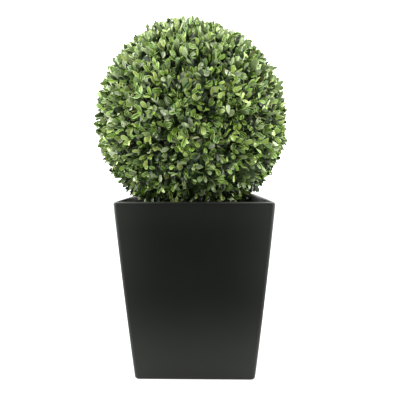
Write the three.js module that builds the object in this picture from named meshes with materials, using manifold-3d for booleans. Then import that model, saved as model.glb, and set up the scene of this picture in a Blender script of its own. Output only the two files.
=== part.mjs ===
// Box topiary ball in a tapered square planter. Millimetres, +Z up.
// The origin is the middle of the planter's flat underside, and the planter's front faces -Y.
// Four solids: the planter, its filling, the short stem that rises from the filling, and the clipped
// ball, which is one mass: a core with twigs standing out of it and leaves in opposite pairs on them.

import * as THREE from 'three';
import { mergeVertices } from 'three/addons/utils/BufferGeometryUtils.js';
import Module from 'manifold-3d';

// Clearance between neighbouring solids
const CLEARANCE = 0.3;

// Planter: a square shell that widens upwards, with softened edges and a rounded lip
const PLANTER_HEIGHT = 406;
const PLANTER_RIM_WIDTH = 344;
const PLANTER_BASE_WIDTH = 274;
const PLANTER_WALL = 9;
const PLANTER_FLOOR = 10;
const PLANTER_CORNER_RADIUS = 10;
const PLANTER_BASE_EDGE_RADIUS = 3.5;
const LIP_OUTER_RADIUS = 5.5;
const LIP_INNER_RADIUS = 2.5;
const CORNER_STEPS = 4;
const EDGE_STEPS = 3;

// Filling: a plug that follows the walls up to a low, uneven surface
const FILLING_DEPTH_BELOW_RIM = 50;
const FILLING_LEVEL = PLANTER_HEIGHT - FILLING_DEPTH_BELOW_RIM;
const FILLING_UNEVENNESS = 3;
const FILLING_WAVE_LENGTH = 95;
const FILLING_WAVE_SLANTS = [0.7, -0.4];
const FILLING_FLAT_RADIUS = 34;
const FILLING_TOP_RINGS = 5;

// Ball: the space of the clipped foliage, a little fuller below mid-height. The skirt's two values
// are how far down the ball it starts and is full, from 0 at mid-height to 1 at the foot.
const BALL_CENTRE = new THREE.Vector3(-10.5, 0, 596);
const BALL_REACH = 238;
const SKIRT_FULLNESS = 4;
const SKIRT_STARTS_AT = 0;
const SKIRT_FULL_AT = 0.3;
const CORE_RADIUS = 200;
const CORE_DETAIL = 3;

// Stem: leans from the planter's middle towards the ball's middle, up into a pocket of the core
const STEM_FOOT = FILLING_LEVEL + CLEARANCE;
const STEM_TOP = 500;
const STEM_FLARE_RADIUS = 21;
const STEM_FLARE_HEIGHT = 16;
const STEM_FOOT_RADIUS = 15;
const STEM_TOP_RADIUS = 11;
const STEM_SIDES = 14;
const STEM_RINGS = 7;

// Twigs: three-sided, evenly spread over the core by the golden angle, each a little askew
const TWIG_COUNT = 140;
const TWIG_SEED = 20113;
const TWIG_SKEW = 0.1;
const TWIG_SINK = 9;
const TWIG_STAND = [11, 16];
const TWIG_ROOT_RADIUS = 3.4;
const TWIG_TIP_RADIUS = 2.6;
const NODE_HEIGHT = 3;

// Leaves: an opposite pair at each of a twig's two nodes, the second pair a quarter turn from the
// first. A leaf grows out of one of the twig's three side faces, so the two are one body. A node has
// its place up the twig, its leaves' tilt from the twig, its turn, and for each leaf the side face it
// grows from and which way it points.
const LEAF_SEED = 7919;
const LEAF_LENGTH = [42, 48];
const LEAF_WIDTH_RATIO = 0.5;
const LEAF_THICKNESS = 3;
const LEAF_WIDEST_AT = 0.58;
const LEAF_BLUNT_AT = 0.96;
const LEAF_BLUNT_RATIO = 0.32;
const LEAF_SAMPLES = 6;
const NODES = [
  { along: 0.2, tilt: [0.95, 1.12], turn: Math.PI / 2, faces: [[0, 1], [2, -1]], bareFace: 1 },
  { along: 0.8, tilt: [1.08, 1.24], turn: 0, faces: [[0, 1], [1, -1]], bareFace: 2 },
];

// Room kept between the foliage and the planter, its filling and the stem
const FOLIAGE_ROOM = 3;

const GOLDEN_ANGLE = Math.PI * (3 - Math.sqrt(5));
const RANDOM_FACTOR = 48271;
const RANDOM_PRIME = 2147483647;

const wasm = await Module();
wasm.setup();

const materials = {
  planter: new THREE.MeshStandardMaterial({ color: 0x26282a, roughness: 0.5, metalness: 0 }),
  filling: new THREE.MeshStandardMaterial({ color: 0x33261c, roughness: 0.95, metalness: 0 }),
  stem: new THREE.MeshStandardMaterial({ color: 0x5d4a38, roughness: 0.85, metalness: 0 }),
  foliage: new THREE.MeshStandardMaterial({ color: 0x5f8a2e, roughness: 0.55, metalness: 0 }),
};

// A repeatable stream of numbers: each state is the last one times a factor, modulo a prime.
function randomStream(seed) {
  let state = seed;
  return ([low, high]) => {
    state = (state * RANDOM_FACTOR) % RANDOM_PRIME;
    return low + ((high - low) * state) / RANDOM_PRIME;
  };
}

function makeGeometry(points, index) {
  const positions = points.flatMap((point) => point.toArray());
  const geometry = new THREE.BufferGeometry();
  geometry.setAttribute('position', new THREE.Float32BufferAttribute(positions, 3));
  geometry.setIndex(index);
  return geometry;
}

// A closed body from rings of equally many points, each ring counter-clockwise seen from above,
// joined in their order and closed by a fan to the middle of the first and of the last ring.
function loftRings(rings) {
  const count = rings[0].length;
  const points = rings.flat();
  const index = [];
  for (let row = 0; row + 1 < rings.length; row += 1) {
    for (let step = 0; step < count; step += 1) {
      const next = (step + 1) % count;
      const low = row * count;
      const high = low + count;
      index.push(low + step, low + next, high + next);
      index.push(low + step, high + next, high + step);
    }
  }
  const closeRing = (row, facesDown) => {
    const middle = new THREE.Vector3();
    rings[row].forEach((point) => middle.add(point));
    const centre = points.push(middle.divideScalar(count)) - 1;
    for (let step = 0; step < count; step += 1) {
      const edge = [row * count + step, row * count + ((step + 1) % count)];
      index.push(centre, ...(facesDown ? edge.reverse() : edge));
    }
  };
  closeRing(0, true);
  closeRing(rings.length - 1, false);
  return makeGeometry(points, index);
}

// Half the planter's outer width at a height.
function planterHalfWidth(z) {
  const growth = (PLANTER_RIM_WIDTH - PLANTER_BASE_WIDTH) / 2 / PLANTER_HEIGHT;
  return PLANTER_BASE_WIDTH / 2 + growth * z;
}

// A ring in the outline of a square with rounded corners.
function squareRing(halfWidth, cornerRadius, heightAt) {
  const ring = [];
  const inner = halfWidth - cornerRadius;
  for (let corner = 0; corner < 4; corner += 1) {
    const start = (corner * Math.PI) / 2;
    const centreX = inner * Math.sign(Math.cos(start + Math.PI / 4));
    const centreY = inner * Math.sign(Math.sin(start + Math.PI / 4));
    for (let step = 0; step <= CORNER_STEPS; step += 1) {
      const angle = start + (step / CORNER_STEPS) * (Math.PI / 2);
      const x = centreX + cornerRadius * Math.cos(angle);
      const y = centreY + cornerRadius * Math.sin(angle);
      ring.push(new THREE.Vector3(x, y, heightAt(x, y)));
    }
  }
  return ring;
}

function levelSquareRing(halfWidth, z) {
  return squareRing(halfWidth, PLANTER_CORNER_RADIUS, () => z);
}

// A rounding as insets from the outer face and heights, from angle to angle about its own centre.
function rounding(inset, z, radius, from, to) {
  const points = [];
  for (let step = 0; step <= EDGE_STEPS; step += 1) {
    const angle = from + ((to - from) * step) / EDGE_STEPS;
    points.push([inset - radius * Math.cos(angle), z + radius * Math.sin(angle)]);
  }
  return points;
}

// The shell: up the outside, over the rounded lip and down the inside to the floor.
function makePlanter() {
  const quarter = Math.PI / 2;
  const outerLipHeight = PLANTER_HEIGHT - LIP_OUTER_RADIUS;
  const innerLipHeight = PLANTER_HEIGHT - LIP_INNER_RADIUS;
  const innerLipInset = PLANTER_WALL - LIP_INNER_RADIUS;
  const profile = [
    ...rounding(PLANTER_BASE_EDGE_RADIUS, PLANTER_BASE_EDGE_RADIUS, PLANTER_BASE_EDGE_RADIUS, -quarter, 0),
    ...rounding(LIP_OUTER_RADIUS, outerLipHeight, LIP_OUTER_RADIUS, 0, quarter),
    ...rounding(innerLipInset, innerLipHeight, LIP_INNER_RADIUS, quarter, 2 * quarter),
    [PLANTER_WALL, PLANTER_FLOOR],
  ];
  return loftRings(profile.map(([inset, z]) => levelSquareRing(planterHalfWidth(z) - inset, z)));
}

// The surface of the filling: crossing waves that fade out round the stem's foot.
function fillingHeight(x, y) {
  const turn = (2 * Math.PI) / FILLING_WAVE_LENGTH;
  const [firstSlant, secondSlant] = FILLING_WAVE_SLANTS;
  const waves = Math.sin(turn * (x + firstSlant * y)) * Math.cos(turn * (y + secondSlant * x));
  const fade = THREE.MathUtils.smoothstep(Math.hypot(x, y), FILLING_FLAT_RADIUS, 2 * FILLING_FLAT_RADIUS);
  return FILLING_LEVEL + FILLING_UNEVENNESS * waves * fade;
}

function makeFilling() {
  const bottom = PLANTER_FLOOR + CLEARANCE;
  const wallGap = PLANTER_WALL + CLEARANCE;
  const topHalfWidth = planterHalfWidth(FILLING_LEVEL - FILLING_UNEVENNESS) - wallGap;
  const rings = [levelSquareRing(planterHalfWidth(bottom) - wallGap, bottom)];
  for (let row = 0; row < FILLING_TOP_RINGS; row += 1) {
    const share = 1 - row / FILLING_TOP_RINGS;
    rings.push(squareRing(topHalfWidth * share, PLANTER_CORNER_RADIUS * share, fillingHeight));
  }
  return loftRings(rings);
}

// The stem's middle line: from the planter's middle at the foot towards the ball's middle.
function stemCentre(z) {
  const share = (z - STEM_FOOT) / (BALL_CENTRE.z - STEM_FOOT);
  return new THREE.Vector3(BALL_CENTRE.x * share, BALL_CENTRE.y * share, z);
}

// The stem's radius: an even taper, and a flare that dies away above the foot.
function stemRadius(z) {
  const share = (z - STEM_FOOT) / (STEM_TOP - STEM_FOOT);
  const taper = THREE.MathUtils.lerp(STEM_FOOT_RADIUS, STEM_TOP_RADIUS, share);
  const flare = (STEM_FLARE_RADIUS - STEM_FOOT_RADIUS) * Math.exp(-(z - STEM_FOOT) / STEM_FLARE_HEIGHT);
  return taper + flare;
}

// The stem, or with room added round it and above it, the pocket that it stands in.
function makeStem(room) {
  const rings = [];
  for (let row = 0; row < STEM_RINGS; row += 1) {
    const share = row / (STEM_RINGS - 1);
    const z = THREE.MathUtils.lerp(STEM_FOOT, STEM_TOP, share * share);
    const centre = stemCentre(z);
    const radius = stemRadius(z) + room;
    const height = row === STEM_RINGS - 1 ? z + room : z;
    const ring = [];
    for (let side = 0; side < STEM_SIDES; side += 1) {
      const angle = (side * 2 * Math.PI) / STEM_SIDES;
      const x = centre.x + radius * Math.cos(angle);
      const y = centre.y + radius * Math.sin(angle);
      ring.push(new THREE.Vector3(x, y, height));
    }
    rings.push(ring);
  }
  return loftRings(rings);
}

// How far foliage may reach from the ball's middle in a direction.
function reachTowards(direction) {
  const skirt = THREE.MathUtils.smoothstep(-direction.z, SKIRT_STARTS_AT, SKIRT_FULL_AT);
  return BALL_REACH + SKIRT_FULLNESS * skirt;
}

// Whether a point is inside the ball's space and clear of the planter, the filling and the stem.
function hasRoom(point) {
  const fromCentre = point.clone().sub(BALL_CENTRE);
  const distance = fromCentre.length();
  const inBall = distance <= reachTowards(fromCentre.divideScalar(distance));
  const inside = planterHalfWidth(point.z) - PLANTER_WALL - FOLIAGE_ROOM;
  const overRim = point.z > PLANTER_HEIGHT + FOLIAGE_ROOM;
  const clearOfWalls = overRim || Math.max(Math.abs(point.x), Math.abs(point.y)) < inside;
  const clearOfFilling = point.z > fillingHeight(point.x, point.y) + FOLIAGE_ROOM;
  const fromStem = point.distanceTo(stemCentre(point.z));
  const clearOfStem = point.z > STEM_TOP || fromStem > STEM_FLARE_RADIUS + FOLIAGE_ROOM;
  return inBall && clearOfWalls && clearOfFilling && clearOfStem;
}

// Each twig's root, axis, length and roll. The roots wind down the core from pole to pole by the
// golden angle, and each twig then leans from the straight way out by a small seeded amount.
function layOutTwigs() {
  const draw = randomStream(TWIG_SEED);
  const twigs = [];
  for (let number = 0; number < TWIG_COUNT; number += 1) {
    const height = 1 - (2 * number + 1) / TWIG_COUNT;
    const across = Math.sqrt(1 - height * height);
    const azimuth = number * GOLDEN_ANGLE;
    const outward = new THREE.Vector3(across * Math.cos(azimuth), across * Math.sin(azimuth), height);
    const east = new THREE.Vector3(-Math.sin(azimuth), Math.cos(azimuth), 0);
    const north = new THREE.Vector3().crossVectors(outward, east);
    const axis = outward.clone();
    axis.addScaledVector(east, draw([-TWIG_SKEW, TWIG_SKEW]));
    axis.addScaledVector(north, draw([-TWIG_SKEW, TWIG_SKEW]));
    axis.normalize();
    const stand = draw(TWIG_STAND);
    const roll = draw([0, Math.PI]);
    const root = BALL_CENTRE.clone().addScaledVector(outward, CORE_RADIUS - TWIG_SINK);
    const tip = root.clone().addScaledVector(axis, TWIG_SINK + stand);
    if (hasRoom(tip)) {
      const side = east.clone().applyAxisAngle(outward, roll);
      side.addScaledVector(axis, -side.dot(axis)).normalize();
      twigs.push({ root, axis, side, stand });
    }
  }
  return twigs;
}

// A leaf's edge and ridge: its widest place, its blunt tip and the ridge along its upper side.
function leafShape(root, along, up, length) {
  const side = new THREE.Vector3().crossVectors(up, along);
  const halfWidth = (length * LEAF_WIDTH_RATIO) / 2;
  const place = (share, across, rise) => root.clone()
    .addScaledVector(along, share * length)
    .addScaledVector(side, across * halfWidth)
    .addScaledVector(up, rise);
  return {
    plus: place(LEAF_WIDEST_AT, 1, 0),
    minus: place(LEAF_WIDEST_AT, -1, 0),
    ridge: place(LEAF_WIDEST_AT, 0, LEAF_THICKNESS),
    tipPlus: place(LEAF_BLUNT_AT, LEAF_BLUNT_RATIO, 0),
    tipMinus: place(LEAF_BLUNT_AT, -LEAF_BLUNT_RATIO, 0),
  };
}

// Whether points along a leaf's edges all have room.
function leafHasRoom(root, { plus, minus, tipPlus, tipMinus }) {
  const edges = [[root, plus], [root, minus], [plus, tipPlus], [minus, tipMinus]];
  for (let sample = 1; sample <= LEAF_SAMPLES; sample += 1) {
    if (edges.some(([from, to]) => !hasRoom(from.clone().lerp(to, sample / LEAF_SAMPLES)))) {
      return false;
    }
  }
  return true;
}

// One twig with its leaves, as a closed body. Rings of three corners climb the twig. At each node
// one side face stays bare, and the leaves of a pair grow out of the other two.
function makeSprig({ root, axis, side, stand }, draw) {
  const across = new THREE.Vector3().crossVectors(axis, side);
  const points = [];
  const index = [];
  const addPoint = (point) => points.push(point) - 1;
  const addRing = (height) => {
    const radius = THREE.MathUtils.mapLinear(height, -TWIG_SINK, stand, TWIG_ROOT_RADIUS, TWIG_TIP_RADIUS);
    const middle = root.clone().addScaledVector(axis, TWIG_SINK + height);
    return [0, 1, 2].map((corner) => {
      const angle = (corner * 2 * Math.PI) / 3;
      const point = middle.clone().addScaledVector(side, radius * Math.cos(angle));
      return addPoint(point.addScaledVector(across, radius * Math.sin(angle)));
    });
  };
  const addSideFace = (low, high, corner) => {
    const next = (corner + 1) % 3;
    index.push(low[corner], low[next], high[next], low[corner], high[next], high[corner]);
  };
  const addLeaf = (low, high, corner, shape) => {
    const next = (corner + 1) % 3;
    const [lowMinus, lowPlus, highMinus, highPlus] = [low[corner], low[next], high[corner], high[next]];
    const [plus, minus, ridge] = [shape.plus, shape.minus, shape.ridge].map(addPoint);
    const [tipPlus, tipMinus] = [shape.tipPlus, shape.tipMinus].map(addPoint);
    index.push(lowPlus, plus, minus, lowPlus, minus, lowMinus);
    index.push(lowPlus, highPlus, plus, lowMinus, minus, highMinus);
    index.push(highPlus, ridge, plus, highMinus, ridge, highPlus, highMinus, minus, ridge);
    index.push(ridge, tipPlus, plus, ridge, tipMinus, tipPlus, ridge, minus, tipMinus);
    index.push(plus, tipPlus, tipMinus, plus, tipMinus, minus);
  };
  let ring = addRing(-TWIG_SINK);
  index.push(ring[0], ring[2], ring[1]);
  for (const { along, tilt, turn, faces, bareFace } of NODES) {
    const height = along * stand;
    const low = addRing(height);
    const high = addRing(height + NODE_HEIGHT);
    [0, 1, 2].forEach((corner) => addSideFace(ring, low, corner));
    addSideFace(low, high, bareFace);
    const middle = root.clone().addScaledVector(axis, TWIG_SINK + height + NODE_HEIGHT / 2);
    const pairAxis = side.clone().applyAxisAngle(axis, turn);
    for (const [corner, hand] of faces) {
      const lean = draw(tilt);
      const length = draw(LEAF_LENGTH);
      const outward = pairAxis.clone().multiplyScalar(hand);
      const blade = axis.clone().multiplyScalar(Math.cos(lean)).addScaledVector(outward, Math.sin(lean));
      const up = axis.clone().multiplyScalar(Math.sin(lean)).addScaledVector(outward, -Math.cos(lean));
      const shape = leafShape(middle, blade, up, length);
      if (leafHasRoom(middle, shape)) {
        addLeaf(low, high, corner, shape);
      } else {
        addSideFace(low, high, corner);
      }
    }
    ring = high;
  }
  index.push(ring[0], ring[1], ring[2]);
  return makeGeometry(points, index);
}

function toSolid(source) {
  const bare = source.clone();
  bare.deleteAttribute('normal');
  bare.deleteAttribute('uv');
  const geometry = mergeVertices(bare);
  return new wasm.Manifold(new wasm.Mesh({
    numProp: 3,
    vertProperties: new Float32Array(geometry.attributes.position.array),
    triVerts: new Uint32Array(geometry.index.array),
  }));
}

function toGeometry(solid) {
  const { vertProperties, triVerts } = solid.getMesh();
  const geometry = new THREE.BufferGeometry();
  geometry.setAttribute('position', new THREE.BufferAttribute(new Float32Array(vertProperties), 3));
  geometry.setIndex(new THREE.BufferAttribute(new Uint32Array(triVerts), 1));
  return geometry;
}

// The clipped ball: core and sprigs fused, with the stem's pocket cut from the core. A hollow that
// fusing seals is filled and a loose scrap is dropped, because only the largest shell is kept.
function makeFoliage() {
  const core = new THREE.IcosahedronGeometry(CORE_RADIUS, CORE_DETAIL);
  core.translate(BALL_CENTRE.x, BALL_CENTRE.y, BALL_CENTRE.z);
  const draw = randomStream(LEAF_SEED);
  const sprigs = layOutTwigs().map((twig) => makeSprig(twig, draw));
  const fused = wasm.Manifold.union([core, ...sprigs].map(toSolid));
  const shells = fused.subtract(toSolid(makeStem(CLEARANCE))).decompose();
  shells.sort((one, other) => other.volume() - one.volume());
  return toGeometry(shells[0]);
}

function namedMesh(name, geometry, material) {
  const mesh = new THREE.Mesh(geometry, material);
  mesh.name = name;
  return mesh;
}

const topiary = new THREE.Group();
topiary.add(namedMesh('planter', makePlanter(), materials.planter));
topiary.add(namedMesh('filling', makeFilling(), materials.filling));
topiary.add(namedMesh('stem', makeStem(0), materials.stem));
topiary.add(namedMesh('foliage_ball', makeFoliage(), materials.foliage));

export default topiary;
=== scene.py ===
# Artificial box ball in a tapered square planter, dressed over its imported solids.
# Lengths are millimetres until a mesh is made. +Z is up, and the planter's front faces -Y.

import math

import bpy
import numpy as np
from mathutils import Matrix


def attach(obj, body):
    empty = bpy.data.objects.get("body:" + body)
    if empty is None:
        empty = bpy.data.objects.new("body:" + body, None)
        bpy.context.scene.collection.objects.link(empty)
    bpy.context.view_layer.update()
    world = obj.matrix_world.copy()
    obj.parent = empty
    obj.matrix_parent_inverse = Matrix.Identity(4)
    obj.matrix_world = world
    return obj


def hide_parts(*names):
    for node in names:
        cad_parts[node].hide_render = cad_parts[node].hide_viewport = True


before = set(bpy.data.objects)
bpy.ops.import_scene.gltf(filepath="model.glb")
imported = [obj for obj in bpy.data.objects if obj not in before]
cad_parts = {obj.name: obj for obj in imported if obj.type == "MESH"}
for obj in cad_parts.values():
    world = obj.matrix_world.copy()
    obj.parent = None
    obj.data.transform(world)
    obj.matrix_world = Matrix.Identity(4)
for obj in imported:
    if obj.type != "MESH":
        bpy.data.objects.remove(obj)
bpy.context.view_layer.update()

MM = 0.001
TOLERANCE = 0.01
UP = np.array([0.0, 0.0, 1.0])

# Planter shell
PLANTER_HEIGHT = 406.0
RIM_WIDTH = 344.0
BASE_WIDTH = 274.0
WALL = 9.0
FLOOR = 10.0
CORNER_RADIUS = 10.0
BASE_EDGE_RADIUS = 3.5
LIP_OUTER_RADIUS = 5.5
LIP_INNER_RADIUS = 2.5
CORNER_STEPS = 8
SIDE_STEPS = 14
BASE_EDGE_STEPS = 5
LIP_OUTER_STEPS = 8
LIP_INNER_STEPS = 5
OUTER_WALL_STEPS = 28
INNER_WALL_STEPS = 10
CAP_INSET = 2.0
SMALLEST_CORNER_RADIUS = 3.0
WALL_BOW = 1.5
WALL_WAVE = 0.3
WALL_WAVE_FOOT = (10.0, 60.0)
WALL_WAVE_LIP = (4.0, 50.0)
WALL_WAVE_EDGE = (4.0, 40.0)

# Usual lowest and highest values of a noise pattern
NOISE_RANGE = (0.3, 0.7)

# How much painted light lightens the planter's tone, and between which heights: painted floor light
# at the foot, a painted reflection of the side lights near the corners, a little near the top, and
# a painted highlight on the lip
FOOT_PAINTED_LIGHT, FOOT_PAINTED_LIGHT_END = 0.2, (10.0, 220.0)
EDGE_PAINTED_REFLECTION, EDGE_PAINTED_REFLECTION_RISE = 0.15, (120.0, 360.0)
TOP_LIGHTENING, TOP_LIGHTENING_RISE = 0.04, (330.0, 400.0)
LIP_PAINTED_HIGHLIGHT, LIP_EDGE_PAINTED_HIGHLIGHT = 0.14, 0.48
LIP_PAINTED_HIGHLIGHT_RISE = (PLANTER_HEIGHT - 3.0, PLANTER_HEIGHT - 0.6)
CLOUDINESS = 0.03

# Filling
FILLING_LEVEL = 356.0
FILLING_UNEVENNESS = 3.0
FILLING_WAVE_LENGTH = 95.0
FILLING_FLAT_RADIUS = 34.0
CLEARANCE = 0.3
BED_RINGS = 44
BED_MIDDLE_SHARE = 0.02
CRUMB_RELIEF = 0.8
CRUMB_SINK = 1.2
CHIP_COUNT = 1500
CHIP_SIDES = 6
CHIP_WALL_GAP = 9.0
CHIP_STEM_GAP = 6.0
CHIP_LENGTH = (5, 11)
CHIP_WIDTH_RATIO = (0.35, 0.65)
CHIP_THICKNESS = (0.8, 1.9)
CHIP_ROUGH_ANGLE = 0.3
CHIP_ROUGH_RADIUS = (0.75, 1.1)
CHIP_RING_SCALES = (0.72, 1.0, 0.8)
CHIP_TILT = 0.22
CHIP_RISE = (-0.5, 2.5)

# Ball and stem
BALL_CENTRE = np.array([-10.5, 0.0, 596.0])
BALL_REACH = 237.0
SKIRT_FULLNESS = 4.0
SKIRT_RISE = (0.0, 0.3)
TUFT_HEIGHT = 6.0
TUFT_TOWARDS = np.array([-0.21, -0.36, 0.91])
TUFT_RISE = (0.93, 0.99)
UNEVEN_REACH = 8.0
STRAY_REACH = 4.0
STRAY_RARITY = 12
STEM_FOOT = FILLING_LEVEL + CLEARANCE
STEM_TOP = 500.0
STEM_FLARE_RADIUS = 21.0
STEM_FLARE_HEIGHT = 16.0
STEM_FOOT_RADIUS = 15.0
STEM_TOP_RADIUS = 11.0
STEM_RINGS = 70
STEM_SIDES = 72
BARK_RIDGE_DEPTH = 0.9
BARK_CRACK_DEPTH = 0.25
FRAME_RADIUS = 162.0
FRAME_BAR_DEPTH = 6.0
FRAME_HALF_TURN_BARS = 8
FRAME_BAR_SHARPNESS = 12
FRAME_POLE_GAP = 0.02
FRAME_RINGS = 97
FRAME_SIDES = 192
FOLIAGE_ROOM = 3.0

# Main twigs, laid out by the source's rule
TWIG_COUNT = 140
TWIG_SEED = 20113
TWIG_SKEW = 0.1
TWIG_SINK = 9.0
TWIG_STAND = (11.0, 16.0)
CORE_RADIUS = 200.0
TWIG_FOOT_REACH = FRAME_RADIUS - 14.0
TWIG_SWAY = 1.2
TWIG_FOOT_RADIUS = 2.4
TWIG_TAPER = 1.3
TWIG_SIDES = 6
PATH_STEPS = 6
GOLDEN_ANGLE = math.pi * (3 - math.sqrt(5))
RANDOM_FACTOR = 48271
RANDOM_PRIME = 2147483647

# Side twigs, by the same rule carried to a finer spread
SPRIG_COUNT = 1750
SPRIG_LENGTH = 34.0
SPRIG_SHIFT = 0.25
SPRIG_SKEW = 0.65
SPRIG_LIFT = 0.2
FORK_REACH = (168.0, 182.0)
FORK_SPREAD = 0.2
FORK_HANDLE = 9.0
SPRIG_STEPS = np.array([0.35, 0.7, 1.0])
SIDE_TWIG_RADII = (1.25, 0.55)
SIDE_TWIG_SIDES = 3

# Leaves: opposite pairs up a sprig, each pair a quarter turn from the last.
# Columns: distance below the sprig's tip, leaf length, tilt away from the sprig in degrees
NODES = np.array([
    (29.5, 24.5, 74.0),
    (20.0, 25.5, 64.0),
    (11.0, 23.5, 50.0),
    (1.5, 19.5, 32.0),
])
LEAF_STATIONS = np.array([0.12, 0.38, 0.68, 0.92])
LEAF_COLUMNS = np.array([-1.0, -0.74, -0.08, 0.08, 0.74, 1.0])
LEAF_WIDTH_RATIO = 0.47
LEAF_THICKNESS = 0.7
STALK_SHARE = 0.08
STALK_WIDTH = 0.1
BLADE_PEAK = 0.4312
PAIR_SKEW = 0.31
TURN_SPREAD = 0.2
TILT_SPREAD = 18
TWIST_SPREAD = 0.35
BEND_MIDDLE, BEND_SPREAD = 0.15, 0.35
LENGTH_SPREAD = (0.8, 1.12)
SPRIG_SIZE_SPREAD = (0.9, 1.1)
WIDTH_SPREAD = (0.88, 1.15)
CUP_RANGE = (-0.4, 0.0)
FOLD_RANGE = (0.2, 0.7)
LEAF_ZONES = ("leaves_crown", "leaves_upper", "leaves_middle", "leaves_lower", "leaves_foot")

# Leaf colours on a screen, 0 to 255. The first six blades run from the darkest to the lightest.
BLADE_TINTS = [
    (16, 36, 7),
    (32, 63, 9),
    (60, 99, 7),
    (87, 131, 12),
    (114, 150, 24),
    (136, 160, 60),
    (124, 135, 112),
    (82, 68, 60),
    (142, 152, 130),
    (140, 156, 56),
    (66, 106, 60),
]
LIGHTEST, GREY, PURPLISH, SILVERY, YELLOWISH, BLUISH = 5, 6, 7, 8, 9, 10
MARGIN_TINTS = [
    (58, 76, 38),
    (128, 152, 72),
    (170, 189, 110),
    (172, 187, 134),
]
UNDERSIDE_TINTS = [
    (44, 56, 32),
    (98, 116, 70),
    (134, 152, 102),
]
MARGIN_OF_BLADE = np.array([0, 1, 2, 2, 3, 3, 2, 1, 3, 3, 2])
UNDERSIDE_OF_BLADE = np.array([0, 0, 1, 2, 2, 2, 2, 1, 2, 2, 1])
LEAF_SHEEN = 0.4
UPPER_ROUGHNESS = 0.36
UNDERSIDE_ROUGHNESS = 0.6

# How the tints are dealt out
SPRIG_TINTS, SPRIG_TINT_ODDS = [1, 2, 3, 4], [0.2, 0.3, 0.3, 0.2]
# Tint steps from the innermost pair to the tip: partly the leaves' own colour by age, partly
# painted shade deep inside the ball
AGE_AND_PAINTED_SHADE_STEPS = np.array([-4, -2, 0, 1])
TINT_NOISE = (-2, 3)
# Painted shade: the odds of a sprig being a step darker, and how far under the ball they rise
PAINTED_SHADE_UNDER_BALL = [(1.0, (0.1, 0.5)), (0.9, (0.4, 0.7))]
SPRIG_HUES, SPRIG_HUE_ODDS = [-1, GREY, SILVERY, YELLOWISH, BLUISH], [0.5, 0.14, 0.1, 0.12, 0.14]
HUE_ODDS = 0.7
HUE_FROM_TINT = 2
PURPLISH_ODDS = 0.03

# Camera: place in millimetres, turns in degrees, lens in millimetres
CAMERA_PLACE = np.array([23.3, -940.0, 464.6])
CAMERA_YAW, CAMERA_PITCH, CAMERA_ROLL = 0.81, 4.03, -0.03
SENSOR_WIDTH = 36.0
LENS = 33.18

# Light. Each softbox: name, place, target, width, height, watts, in metres
SOFTBOXES = [
    ("softbox_left", (-1.7, 0.05, 0.9), (0, 0, 0.6), 3.0, 2.4, 151),
    ("softbox_right", (1.7, 0.05, 0.9), (0, 0, 0.6), 3.0, 2.4, 142),
    ("softbox_top", (0.0, -0.5, 2.0), (0, 0, 0.6), 1.6, 1.6, 32),
]
TENT_TOWARDS = (0.0, 1.0, 0.3)
TENT_LEAN = (-0.8, 0.4)
TENT_LIGHT = (0.13, 2.35)
FLOOR_REACH = 9000.0
FLOOR_GLOW = 0.86
RANDOM_SEED = 4127


def unit(vectors):
    """Each vector divided by its length."""
    return vectors / np.linalg.norm(vectors, axis=-1, keepdims=True)


def smooth_rise(value, start, full):
    """0 up to start, 1 from full on, and 3t^2 - 2t^3 of the share t between them."""
    share = np.clip((value - start) / (full - start), 0.0, 1.0)
    return share * share * (3 - 2 * share)


def put_mesh(name, points, corners, sizes, finishes, finish_of_face=None):
    """One object from points in millimetres, the faces' corner numbers in one row, and each face's
    number of corners."""
    mesh = bpy.data.meshes.new(name)
    for finish in finishes:
        mesh.materials.append(finish)
    mesh.vertices.add(len(points))
    mesh.vertices.foreach_set("co", (points * MM).astype(np.float32).ravel())
    mesh.loops.add(len(corners))
    mesh.loops.foreach_set("vertex_index", corners.astype(np.int32))
    mesh.polygons.add(len(sizes))
    starts = np.cumsum(sizes) - sizes
    mesh.polygons.foreach_set("loop_start", starts.astype(np.int32))
    mesh.polygons.foreach_set("use_smooth", np.ones(len(sizes), dtype=bool))
    if finish_of_face is not None:
        mesh.polygons.foreach_set("material_index", finish_of_face.astype(np.int32))
    mesh.update(calc_edges=True)
    piece = bpy.data.objects.new(name, mesh)
    bpy.context.scene.collection.objects.link(piece)
    return piece


def sharpen(piece, is_sharp):
    """Marks the edges whose two ends make is_sharp true, so that smooth shading stops there."""
    mesh = piece.data
    ends = np.empty(2 * len(mesh.edges), dtype=np.int32)
    mesh.edges.foreach_get("vertices", ends)
    ends = ends.reshape(-1, 2)
    marks = mesh.attributes.new("sharp_edge", "BOOLEAN", "EDGE")
    marks.data.foreach_set("value", is_sharp(ends[:, 0], ends[:, 1]))


def ring_quads(rows, count):
    """Corner numbers of the quads between rows of rings, each ring with the same count of
    points."""
    step = np.arange(count)
    after = (step + 1) % count
    low = count * np.arange(rows - 1)[:, None]
    return np.stack([low + step, low + after, low + count + after, low + count + step], -1).ravel()


def stack_faces(stacks, rows, count):
    """Corner numbers and face sizes of many closed stacks of rings: the quads between the rings,
    a flat bottom and a flat top."""
    step = np.arange(count)
    one = np.concatenate([ring_quads(rows, count), step[::-1], step + count * (rows - 1)])
    one_size = np.concatenate([np.full((rows - 1) * count, 4), [count, count]])
    corners = one + count * rows * np.arange(stacks)[:, None]
    return corners.ravel(), np.tile(one_size, stacks)


def join_rings(rings):
    """Quads between rings of equally many points, counter-clockwise seen from the end, and a fan
    over each end."""
    rows, count = rings.shape[:2]
    middles = rings[[0, -1]].mean(axis=1)
    points = np.concatenate([rings.reshape(-1, 3), middles])
    step = np.arange(count)
    after = (step + 1) % count
    last = (rows - 1) * count
    foot_fan = np.stack([np.full(count, rows * count), after, step], axis=-1)
    head_fan = np.stack([np.full(count, rows * count + 1), last + step, last + after], axis=-1)
    corners = np.concatenate([ring_quads(rows, count), foot_fan.ravel(), head_fan.ravel()])
    sizes = np.concatenate([np.full((rows - 1) * count, 4), np.full(2 * count, 3)])
    return points, corners, sizes


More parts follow.
